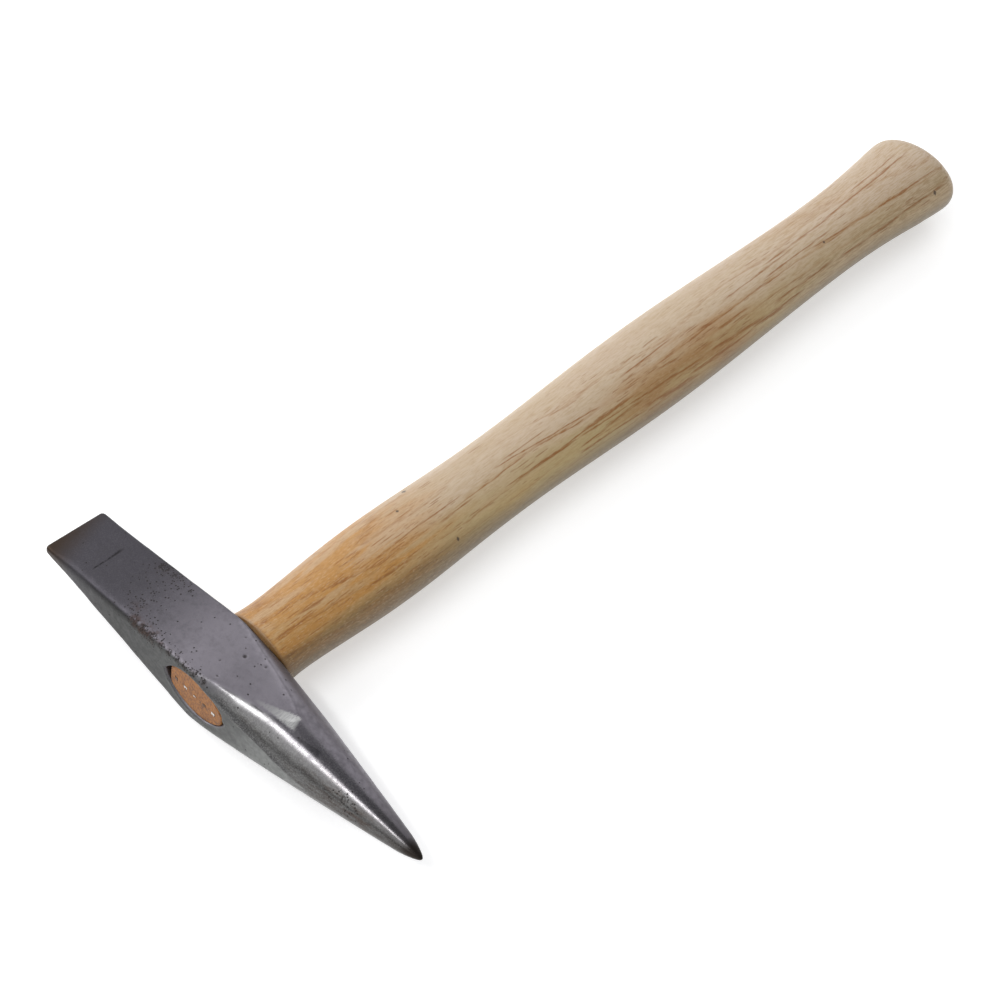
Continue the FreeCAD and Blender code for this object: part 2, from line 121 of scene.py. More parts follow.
VEINS = (                                            # x twice, y twice, half width
    (2.5, 2.1, 159, 181, 0.42),
    (8.5, 8.7, 137, 156, 0.45),
    (11.5, 11.2, 134, 161, 0.40),
    (5.1, 5.8, 191, 198, 0.60),
    (8.1, 8.0, 196, 210, 0.42),
    (7.4, 8.0, 170, 180, 0.40),
    (8.9, 9.0, 117, 133, 0.35),
    (1.5, 1.7, 110, 129, 0.30),
    (3.4, 2.8, 55, 91, 0.32),
    (5.9, 5.5, 80, 93, 0.36),
    (8.2, 8.7, 105, 116, 0.36),
    (0.1, -0.5, 226, 256, 0.42),
    (-0.8, -2.1, 253, 293, 0.50),
    (3.8, 3.2, 222, 252, 0.34),
    (4.8, 5.8, 243, 264, 0.36),
    (6.2, 8.2, 264, 298, 0.40),
    (10.9, 10.5, 220, 246, 0.40),
    (11.0, 11.6, 250, 278, 0.36),
    (11.6, 12.6, 277, 297, 0.45),
    (-3.4, -4.2, 268, 290, 0.30),
    (2.0, 1.0, 205, 237, 0.30),
    (2.8, 3.6, 26, 36, 0.42),
    (4.9, 5.0, 15, 29, 0.40),
    (10.1, 10.3, 14, 20, 0.45),
    (8.5, 9.0, 48, 61, 0.38),
    (-1.4, -0.7, 45, 51, 0.40),
    (1.9, 5.9, 106, 146, 0.30),
    (8.6, 9.1, 113, 159, 0.34),
    (9.4, 11.9, 136, 186, 0.32),
    (12.2, 13.5, 133, 160, 0.30),
    (12.9, 14.1, 160, 182, 0.42),
    (13.2, 13.0, 180, 208, 0.38),
    (11.6, 12.2, 190, 214, 0.44),
    (12.6, 12.3, 208, 232, 0.38),
)

SPECKS = (                                           # x, y, size
    (-10.7, 80.5, 1.1),
    (-5.2, 72.5, 0.8),
    (11.8, 81.9, 0.8),
    (5.2, 247.2, 0.7),
    (12.8, 292.0, 0.9),
)

# ---- wedge -----------------------------------------------------------------------------
TOOTH_PITCH = 4 * MM
WEDGE_BREAK = 0.16 * MM                              # broken corners
LONG_EDGE = 0.9 * MM                                 # longer edges are divided
TOOTH_TOP, TOOTH_ROOT = 0.25 * MM, 0.95 * MM         # the teeth narrow between these

# ---- height of a full bump in the materials --------------------------------------------
STEEL_BUMP = 0.09 * MM
WOOD_BUMP = 0.05 * MM
WEDGE_BUMP = 0.05 * MM
PAPER_BUMP = 0.01 * MM

# ---- colours: linear red, green and blue -----------------------------------------------
SLATE_SHADED_AT_EDGE = (0.064, 0.060, 0.070)                # forge scale on the cheeks; painted shade makes it dark at the chisel edge and pale at the point
SLATE_LIT_AT_POINT = (0.255, 0.237, 0.267)
SLATE_SHADED_BEHIND = (0.075, 0.070, 0.080)                 # butt-side face, darkened as painted shade
SLATE_PATCH = (0.055, 0.053, 0.058)
OUTER_SHADED_AT_EDGE = (0.037, 0.037, 0.0365)               # greener face that holds the eye, darkened by painted shade, lighter towards the point
OUTER_SHADED_AT_EYE = (0.085, 0.088, 0.086)
OUTER_SHADED_AT_POINT = (0.170, 0.174, 0.170)
V_HIGHLIGHT = (0.210, 0.216, 0.210)                   # painted highlight where that face runs out in a V
V_BORDER_SHADE = (0.045, 0.045, 0.047)                 # painted shade along the border of the V
WHEEL_LIGHT = (0.120, 0.118, 0.115)                  # left by the grinding wheel
WHEEL_DARK = (0.070, 0.066, 0.062)
# painted shade band beside the point's ridge
RIDGE_SHADE_BAND = (0.040, 0.038, 0.043)
# burnish marks on the ground point, brightened as painted highlight on its outer side
BURNISH_AND_HIGHLIGHT = (0.30, 0.295, 0.29)
BARE_GRAIN = (0.30, 0.30, 0.30)
WORN_ARRIS = (0.34, 0.34, 0.34)
# painted shade that dims the ground point towards its tip
POINT_END_SHADE = (0.060, 0.055, 0.054)
ARRIS_SHADE = (0.028, 0.027, 0.029)                   # painted shade on the outer arris of the chisel half
CROWN_SHADE = (0.050, 0.047, 0.054)                   # painted shade on the strip behind the crown line
HEAT_BROWN = (0.046, 0.032, 0.023)
SMUDGE = (0.070, 0.050, 0.042)
TIP_DARK = (0.030, 0.024, 0.020)
SCRATCH = (0.025, 0.023, 0.025)
FLARE_HIGHLIGHT_START = (0.46, 0.46, 0.455)                    # painted highlight stripe on the cheek
FLARE_HIGHLIGHT_END = (0.74, 0.74, 0.73)
# painted highlight along the point's ridge
RIDGE_HIGHLIGHT = (0.60, 0.59, 0.595)
# painted shade beside the ridge highlight
RIDGE_BORDER_SHADE = (0.045, 0.043, 0.048)
RUST = (0.110, 0.058, 0.040)
RUST_FLECK = (0.20, 0.165, 0.150)
PIT_BLACK = (0.018, 0.014, 0.013)

SAPWOOD = (0.500, 0.390, 0.285)
HEARTWOOD = (0.460, 0.315, 0.125)
OLIVE_WOOD = (0.420, 0.330, 0.165)
WARM_WOOD = (0.435, 0.212, 0.050)                    # next to the head
RED_WOOD = (0.270, 0.120, 0.040)                     # patch half way along the grip
RING_PALE = (0.370, 0.200, 0.070)
RING_WARM = (0.350, 0.145, 0.030)
RING_CORE = (0.240, 0.085, 0.013)
FIBRE = (0.31, 0.175, 0.050)
PORE_PALE = (0.240, 0.105, 0.028)
PORE_WARM = (0.270, 0.100, 0.015)
VEIN = (0.235, 0.084, 0.010)
LOWER_SIDE_SHADE = (0.125, 0.096, 0.052)                    # painted shade along the lower flank
# painted shade on the flank near the head
FLANK_SHADE = (0.104, 0.072, 0.032)
FLECK_LIT = (0.600, 0.440, 0.270)
FLECK_DULL = (0.250, 0.110, 0.030)
# painted shade on the side of the butt
BUTT_SIDE_SHADE = (0.170, 0.128, 0.070)
SHOULDER_SHADE = (0.110, 0.055, 0.022)                   # painted shade where the grip meets the head
SPECK = (0.04, 0.025, 0.015)
SAWN_LIGHT = (0.300, 0.110, 0.012)                   # end grain of the tenon
SAWN_DARK = (0.150, 0.048, 0.006)
SAWN_SPOT = (0.070, 0.026, 0.008)

DRAWN_DARK = (0.10, 0.095, 0.09)
DRAWN_LIGHT = (0.22, 0.21, 0.20)
WEDGE_RUST = (0.090, 0.045, 0.022)
UPSET_TOOTH = (0.82, 0.80, 0.77)
PAPER_LOW = (0.76, 0.76, 0.76)
PAPER_HIGH = (0.79, 0.79, 0.79)

# ---- camera and light: angles in degrees, distances in metres --------------------------
VIEW_AZIMUTH = 39.37
VIEW_ELEVATION = 54.65
VIEW_ROLL = 8.64
VIEW_DISTANCE = 1.181
VIEW_LENS = 140.73
FLOOR_GLOW = 0.45                                    # a light table under the sheet
FLOOR_REACH = 3.0
WORLD_GLOW = 0.44
SOFTBOXES = (                                        # name, way, distance, wide, deep, power
    ("key", (-0.06, -0.54, 0.84), 1.1, 0.62, 0.09, 3.5),
    ("left_fill", (-0.86, -0.16, 0.50), 1.4, 1.2, 1.1, 10.2),
    ("front_fill", (0.0, -0.86, 0.42), 1.5, 1.5, 0.7, 3.6),
    ("back_fill", (-0.36, 0.72, 0.52), 1.5, 1.5, 1.2, 6.8),
)
AIM = Vector((CROSSING.x + 6.9 * MM, CROSSING.y + 104.6 * MM, AXIS_Z))


# ---- mesh helpers ----------------------------------------------------------------------
def points_of(mesh):
    """A mesh's points as rows of x, y, z."""
    flat = np.empty(len(mesh.vertices) * 3)
    mesh.vertices.foreach_get("co", flat)
    return flat.reshape(-1, 3)


def normals_of(mesh):
    """The smooth normal at every point."""
    flat = np.empty(len(mesh.vertices) * 3)
    mesh.vertex_normals.foreach_get("vector", flat)
    return flat.reshape(-1, 3)


def move_points(mesh, points):
    """Put every point of a mesh where its row says."""
    mesh.vertices.foreach_set("co", points.ravel())
    mesh.update()


def edges_of(mesh):
    """A mesh's edges as rows of two point numbers."""
    flat = np.empty(len(mesh.edges) * 2, dtype=np.int64)
    mesh.edges.foreach_get("vertices", flat)
    return flat.reshape(-1, 2)


def averaged(values, edges, steps, share=0.5):
    """Pull every value towards the mean of its neighbours; share may differ by point."""
    ends = np.concatenate([edges, edges[:, ::-1]])
    degree = np.maximum(np.bincount(ends[:, 0], minlength=len(values)), 1)
    columns = values.reshape(len(values), -1).astype(float)
    share = np.broadcast_to(np.asarray(share, dtype=float).reshape(-1, 1), (len(values), 1))
    for _ in range(steps):
        means = np.stack([np.bincount(ends[:, 0], column[ends[:, 1]], len(values)) / degree
                          for column in columns.T], axis=1)
        columns = columns + share * (means - columns)
    return columns.reshape(values.shape)


def smoothstep(values, low, high):
    """0 at low and below, 1 at high and above, eased between; low may be the larger."""
    ratio = np.clip((values - low) / (high - low), 0, 1)
    return ratio * ratio * (3 - 2 * ratio)


def rough(points, size, octaves=3):
    """Fractal noise from about -1 to 1 at every point; size is one bump, by axis."""
    scaled = points / np.asarray(size)
    return np.array([noise.fractal(Vector(place), 1.0, 2.0, octaves) for place in scaled])


def keep_mask(mesh, name, values):
    """Store a value for each point, which a material reads by its name."""
    mesh.attributes.new(name, "FLOAT", "POINT").data.foreach_set("value", values)


def shade(mesh, sharp_angle):
    """Smooth shading, but for edges sharper than an angle in degrees."""
    mesh.polygons.foreach_set("use_smooth", [True] * len(mesh.polygons))
    mesh.set_sharp_from_angle(angle=math.radians(sharp_angle))


def new_piece(name, mesh):
    """An object in the scene for a mesh, a light or a camera."""
    piece = bpy.data.objects.new(name, mesh)
    bpy.context.scene.collection.objects.link(piece)
    return piece


def apply_modifiers(piece):
    """Swap the piece's mesh for the one that its modifiers give."""
    graph = bpy.context.evaluated_depsgraph_get()
    final = bpy.data.meshes.new_from_object(piece.evaluated_get(graph))
    piece.modifiers.clear()
    piece.data = final


# ---- head ------------------------------------------------------------------------------
def eye_distance(points):
    """How far each point is outside the eye's lens-shaped wall; negative inside it."""
    radius = (EYE_HALF_LENGTH ** 2 + EYE_HALF_WIDTH ** 2) / (2 * EYE_HALF_WIDTH)
    across = points[:, 0] - CROSSING.x
    up = points[:, 2] - AXIS_Z
    offset = radius - EYE_HALF_WIDTH
    return np.maximum(np.hypot(across, up + offset), np.hypot(across, up - offset)) - radius


def remeshed_head():
    """The CAD head as an even fine mesh that lies on the CAD surface."""
    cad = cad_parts["head"]
    head = new_piece("forged_head", cad.data.copy())
    head.data.materials.clear()
    remesh = head.modifiers.new("remesh", "REMESH")
    remesh.mode = "VOXEL"
    remesh.voxel_size = HEAD_VOXEL
    wrap = head.modifiers.new("wrap", "SHRINKWRAP")
    wrap.target = cad
    wrap.wrap_method = "NEAREST_SURFACEPOINT"
    apply_modifiers(head)
    return head


def softened(points, local, edges, free, off_edge):
    """The points with eased arrises, more so where a cheek runs out on the point."""
    soft = free * smoothstep(off_edge, 1.5 * MM, 14 * MM)
    eased = averaged(points, edges, ARRIS_STEPS, 0.5 * np.maximum(soft, 0.05 * free))
    x, y, z = local.T
    start = np.where(y > 2 * MM, -9 * MM, 4 * MM)
    blend = smoothstep(x - start, 0.0, 9 * MM) * smoothstep(x, 66 * MM, 54 * MM)
    blend *= smoothstep(np.abs(z), 3 * MM, 5 * MM)
    outer_arris = smoothstep(-x, 12 * MM, 24 * MM) * smoothstep(off_edge, 3 * MM, 12 * MM)
    outer_arris *= smoothstep(-y, 2 * MM, 5 * MM) * smoothstep(z, 0, 2 * MM)
    blend = np.maximum(blend, 0.6 * outer_arris)
    return averaged(eased, edges, BLEND_STEPS, 0.5 * blend)


def forged_depth(points, ground, off_edge):
    """How far forging and grinding leave each point of the head below the CAD surface."""
    wavy = rough(points, (11 * MM, 7 * MM, 9 * MM), 2) * 0.6
    wavy += rough(points + 0.3, (2.6 * MM, 2.2 * MM, 2.4 * MM), 3) * 0.28
    ripple = rough(points + 0.7, (1.1 * MM, 5 * MM, 5 * MM), 2)
    depth = FORGED_DEPTH * (0.5 - 0.5 * wavy) * (1 - ground)
    depth += GROUND_DEPTH * (0.5 + 0.5 * ripple) * ground
    return depth * smoothstep(off_edge, 0.0, 10 * MM)


def dents(local, top):
    """How deep the dents are at each point of the head, and how dark."""
    depth, dented = np.zeros(len(local)), np.zeros(len(local))
    for x, y, radius, sunk in DENTS:
        away = np.hypot(local[:, 0] - x * MM, local[:, 1] - y * MM) / (radius * MM)
        depth += sunk * MM * (1 - smoothstep(away, 0.1, 1.0)) * top
        dark = (1 - smoothstep(away, 0.35, 0.75)) * top
        dented = np.maximum(dented, dark * min(1, sunk / DEEP_DENT))
    return depth, dented


def pit_density(points, local):
    """How many of the pits that could be at each point of the head are there, 0 to 1."""
    patches = smoothstep(rough(points + 0.5, (9 * MM,) * 3, 2), 0.1, 0.6)
    pitted = STRAY_PITS + 0.03 * patches
    for x, y, z, reach, density in PIT_CLUSTERS:
        away = np.linalg.norm(local - np.array((x, y, z)) * MM, axis=1) / (reach * MM)
        pitted = np.maximum(pitted, density * np.exp(-away ** 2))
    return pitted


def make_head():
    """The CAD head with soft, uneven forged surfaces, a rippled point, dents and pits."""
    head = remeshed_head()
    mesh = head.data
    points, normals, edges = points_of(mesh), normals_of(mesh), edges_of(mesh)
    local = points - np.array(CROSSING)
    off_edge = points[:, 0] - HEAD_LOW.x
    free = smoothstep(eye_distance(points), 0.5 * MM, 2.4 * MM)
    past_crown = smoothstep(local[:, 0], 4 * MM, 12 * MM)
    ground = smoothstep(normals[:, 0], GROUND_TILT - 0.02, GROUND_TILT + 0.02) * past_crown
    ground = averaged(ground, edges, MASK_STEPS)
    bent = averaged(normals, edges, NORMAL_STEPS)
    bulge = ((points - averaged(points, edges, 6)) * normals).sum(axis=1)
    worn = smoothstep(averaged(bulge, edges, 2), 0.02 * MM, 0.09 * MM)
    outer = smoothstep(-normals[:, 1], 0.35, 0.85)

    dent_depth, dented = dents(local, normals[:, 2] > 0.5)
    depth = (forged_depth(points, ground, off_edge) + dent_depth) * free
    unit = bent / np.linalg.norm(bent, axis=1)[:, None]
    move_points(mesh, softened(points, local, edges, free, off_edge) - unit * depth[:, None])

    keep_mask(mesh, "dented", dented)
    keep_mask(mesh, "outer", averaged(outer, edges, MASK_STEPS))
    keep_mask(mesh, "lean", averaged(normals[:, 1], edges, NORMAL_STEPS))
    keep_mask(mesh, "ground", ground)
    keep_mask(mesh, "worn", worn)
    keep_mask(mesh, "pitted", pit_density(points, local))
    shade(mesh, 50)
    return head


# ---- handle ----------------------------------------------------------------------------
def make_handle():
    """Oval grip, rounded butt and tenon, lofted from rings that follow the CAD handle."""
    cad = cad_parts["handle"].data
    solid = BVHTree.FromPolygons([v.co for v in cad.vertices],
                                 [p.vertices[:] for p in cad.polygons])
    ratio = (HANDLE_HIGH.z - HANDLE_LOW.z) / (HANDLE_HIGH.x - HANDLE_LOW.x)
    butt_y = HANDLE_HIGH.y - BUTT_DEPTH
    width_at = grip_profile(points_of(cad), ratio, butt_y)
    angles = np.linspace(0, 2 * math.pi, AROUND, endpoint=False)
    oval = np.stack([np.cos(angles), np.zeros(AROUND), ratio * np.sin(angles)], axis=1)

    def axis_at(y):
        return np.array((CROSSING.x, y, AXIS_Z))

    tenon_y = (HANDLE_LOW.y + SHOULDER_Y) / 2
    lens = []
    for spoke in oval:
        way = Vector(spoke).normalized()
        hit = solid.ray_cast(Vector(axis_at(tenon_y)) + way * RAY_START * MM, -way)[0]
        lens.append(np.array(hit) - axis_at(tenon_y))
    lens = np.array(lens)
    inset = 1 - TENON_BREAK / np.linalg.norm(lens, axis=1)[:, None]

    grain_y = HANDLE_LOW.y + GRAIN_RECESS
    rings = [axis_at(grain_y) + lens * inset * share for share in np.linspace(0.06, 0.97, 20)]
    rings.append(axis_at(HANDLE_LOW.y + 0.1 * MM) + lens * inset)
    for y in np.linspace(HANDLE_LOW.y + TENON_BREAK, SHOULDER_Y, 14):
        rings.append(axis_at(y) + lens)
    rings.append(axis_at(SHOULDER_Y) + oval * (width_at(SHOULDER_Y) - SHOULDER_BREAK))
    grip_start = SHOULDER_Y + SHOULDER_BREAK
    for y in np.linspace(grip_start, butt_y, round((butt_y - grip_start) / RING_STEP)):
        rings.append(axis_at(y) + oval * width_at(y))
    centre = Vector(axis_at(butt_y))
    for turn in np.linspace(0, math.pi / 2, BUTT_RINGS + 1)[1:-1]:
        ring = []
        for spoke in oval * width_at(butt_y) * math.cos(turn):
            way = Vector(spoke) + Vector((0, BUTT_DEPTH * math.sin(turn), 0))
            ring.append(solid.ray_cast(centre, way.normalized())[0])
        rings.append(np.array(ring))
    pole = solid.ray_cast(centre, Vector((0, 1, 0)))[0]

    mesh = skin_rings("ash_handle", rings, axis_at(grain_y), np.array(pole))
    points, edges = points_of(mesh), edges_of(mesh)
    rounded = smoothstep(points[:, 1], butt_y - 1 * MM, butt_y + 3 * MM)
    points = averaged(points, edges, 5, 0.5 * rounded)
    move_points(mesh, points)
    normals = normals_of(mesh)
    in_grip = smoothstep(points[:, 1], SHOULDER_Y + 1 * MM, SHOULDER_Y + 8 * MM)
    uneven = 0.5 - 0.5 * rough(points, (7 * MM, 30 * MM, 7 * MM), 2)
    sanded = SANDED_DEPTH * uneven * in_grip
    sawn = SAW_ROUGHNESS * rough(points, (0.5 * MM, 9 * MM, 0.5 * MM), 2)
    sawn *= points[:, 1] < HANDLE_LOW.y + 0.3 * MM
    points = points - normals * sanded[:, None]
    points[:, 1] += np.abs(sawn)
    move_points(mesh, points)
    return new_piece("ash_handle", mesh)


def grip_profile(points, ratio, butt_y):
    """The grip's half width at any station, as a smooth curve through the CAD points."""
    on_grip = (points[:, 1] > SHOULDER_Y + 0.1 * MM) & (points[:, 1] < butt_y + 2 * MM)
    across, along, up = points[on_grip].T
    half = np.hypot(across - CROSSING.x, (up - AXIS_Z) / ratio)
    return np.polynomial.Chebyshev.fit(along, half, PROFILE_DEGREE)


def skin_rings(name, rings, first_pole, last_pole):
    """A closed mesh through rings of equally many points, with a fan at each end."""
    count = len(rings[0])
    mesh = bpy.data.meshes.new(name)
    points = [first_pole, *np.concatenate(rings), last_pole]
    last = len(points) - 1
    faces = []
    for step in range(count):
        after = (step + 1) % count
        faces.append((0, 1 + after, 1 + step))
        for ring in range(len(rings) - 1):
            near, far = 1 + ring * count, 1 + (ring + 1) * count
            faces.append((near + step, near + after, far + after, far + step))
        near = 1 + (len(rings) - 1) * count
        faces.append((near + step, near + after, last))
    mesh.from_pydata([tuple(point) for point in points], [], faces)
    work = bmesh.new()
    work.from_mesh(mesh)
    bmesh.ops.recalc_face_normals(work, faces=work.faces)
    work.to_mesh(mesh)
    work.free()
    return mesh


def cut_slot(handle, wedge):
    """Cut the wedge's slot into the handle, with a hair's crevice round the teeth."""
    cutter = new_piece("slot_cutter", wedge.data.copy())
    grown = points_of(cutter.data) + normals_of(cutter.data) * CREVICE
    move_points(cutter.data, grown)
    cut = handle.modifiers.new("slot", "BOOLEAN")
    cut.operation = "DIFFERENCE"
    cut.solver = "EXACT"
    cut.object = cutter
    apply_modifiers(handle)
    bpy.data.objects.remove(cutter)
    shade(handle.data, 40)


# ---- wedge -----------------------------------------------------------------------------
def make_wedge():
    """The CAD wedge with broken corners and teeth that the driving has upset unevenly."""
    wedge = new_piece("toothed_wedge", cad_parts["wedge"].data.copy())
    wedge.data.materials.clear()
    work = bmesh.new()
    work.from_mesh(wedge.data)
    bmesh.ops.dissolve_limit(work, angle_limit=math.radians(1),
                             verts=work.verts, edges=work.edges)
    bmesh.ops.bevel(work, geom=list(work.edges), offset=WEDGE_BREAK, segments=3,
                    profile=0.6, affect="EDGES", clamp_overlap=True)
    bmesh.ops.triangulate(work, faces=work.faces)
    long_edges = [edge for edge in work.edges if edge.calc_length() > LONG_EDGE]
    bmesh.ops.subdivide_edges(work, edges=long_edges, cuts=2, use_grid_fill=True)
    work.to_mesh(wedge.data)
    work.free()
    points = points_of(wedge.data)
    low_y = points[:, 1].min()
    teeth = 1 - smoothstep(points[:, 1], low_y + TOOTH_TOP, low_y + TOOTH_ROOT)
    place = (points[:, 0] - CROSSING.x) / TOOTH_PITCH
    middle = np.round(place)
    narrow = 0.30 + 0.16 * np.sin(middle * 2.3 + 0.7)
    slim = 0.42 + 0.2 * np.sin(middle * 1.7 + 2.0)
    points[:, 0] -= (place - middle) * TOOTH_PITCH * narrow * teeth
    points[:, 2] -= (points[:, 2] - AXIS_Z) * slim * teeth
    upset = 0.05 * MM * (1 + np.sin(middle * 3.1)) * teeth
    upset += 0.03 * MM * (1 + rough(points, (0.4 * MM,) * 3, 2)) * teeth
    points[:, 1] += upset
    move_points(wedge.data, points)
    shade(wedge.data, 35)
    return wedge


# ---- materials -------------------------------------------------------------------------
class Look:
    """One procedural material; its methods add a node each and give that node's output."""

    def __init__(self, name):
        self.material = bpy.data.materials.new(name)
        self.material.use_nodes = True
        self.tree = self.material.node_tree
        self.shader = self.tree.nodes["Principled BSDF"]

    def feed(self, socket, value):
        """Link another node's output to the socket, or set the socket itself."""
        if isinstance(value, bpy.types.NodeSocket):
            self.tree.links.new(value, socket)
        else:
            socket.default_value = value

    def node(self, kind, inputs, **settings):
        """A new node of this kind, with its inputs fed and its settings set."""
        made = self.tree.nodes.new("ShaderNode" + kind)
        for name, setting in settings.items():
            setattr(made, name, setting)
        for socket, value in inputs.items():
            self.feed(made.inputs[socket], value)
        return made

    def place(self, origin):
        """Position on the hammer in millimetres, from an origin given in metres."""
        raw = self.tree.nodes.new("ShaderNodeTexCoord").outputs["Object"]
        moved = self.node("VectorMath", {0: raw, 1: origin}, operation="SUBTRACT").outputs[0]
        return self.stretch(moved, (1 / MM,) * 3)

    def stretch(self, vector, scale):
        return self.node("VectorMath", {0: vector, 1: scale}, operation="MULTIPLY").outputs[0]

    def split(self, vector):
        return self.node("SeparateXYZ", {0: vector}).outputs[:]

    def mask(self, name):
        """A value that keep_mask stored at each point."""
        return self.node("Attribute", {}, attribute_name=name).outputs["Fac"]

    def sum(self, a, b):
        return self.node("Math", {0: a, 1: b}, operation="ADD").outputs[0]

    def minus(self, a, b):
        return self.node("Math", {0: a, 1: b}, operation="SUBTRACT").outputs[0]

    def times(self, a, b):
        return self.node("Math", {0: a, 1: b}, operation="MULTIPLY").outputs[0]

    def math(self, operation, a, b=0.0):
        return self.node("Math", {0: a, 1: b}, operation=operation).outputs[0]

    def ease(self, value, low, high, out_low=0.0, out_high=1.0):
        """Smooth step of a value from low to high."""
        inputs = {"Value": value, "From Min": low, "From Max": high,
                  "To Min": out_low, "To Max": out_high}
        made = self.node("MapRange", inputs, interpolation_type="SMOOTHSTEP")
        return made.outputs["Result"]

    def noise(self, vector, size, detail=3.0, roughness=0.5, distortion=0.0):
        """Noise from 0 to 1; size is one bump in millimetres, by axis."""
        scaled = self.stretch(vector, tuple(1 / part for part in size))
        inputs = {"Vector": scaled, "Scale": 1.0, "Detail": detail,
                  "Roughness": roughness, "Distortion": distortion}
        return self.node("TexNoise", inputs).outputs["Fac"]

    def cells(self, vector, size):
        """Cell noise: the distance to the nearest cell's middle, and the cell's number."""
        scaled = self.stretch(vector, tuple(1 / part for part in size))
        made = self.node("TexVoronoi", {"Vector": scaled, "Scale": 1.0})
        return made.outputs["Distance"], self.split(made.outputs["Color"])[0]

    def mix(self, share, a, b):
        """Colour a turning into colour b."""
        made = self.node("Mix", {0: share}, data_type="RGBA")
        for socket, colour in zip(made.inputs[6:8], (a, b)):
            self.feed(socket, (*colour, 1) if isinstance(colour, tuple) else colour)
        return made.outputs[2]

    def band(self, value, rise, fall):
        """1 inside a band of the value: eased in over rise and out over fall."""
        return self.times(self.ease(value, *rise), self.ease(value, *fall))

    def paint(self, colour, tint, mask, strength):
        """The colour, with this strength of the tint wherever the mask is 1."""
        return self.mix(self.times(mask, strength), colour, tint)

    def finish(self, bump_height, bump_depth, **surface):
        """Wire the surface up; bump_depth is the height of a full bump, in metres."""
        bump = self.node("Bump", {"Height": bump_height, "Distance": bump_depth})
        self.feed(self.shader.inputs["Normal"], bump.outputs[0])
        for name, value in surface.items():
            self.feed(self.shader.inputs[name.replace("_", " ")], value)
        return self.material


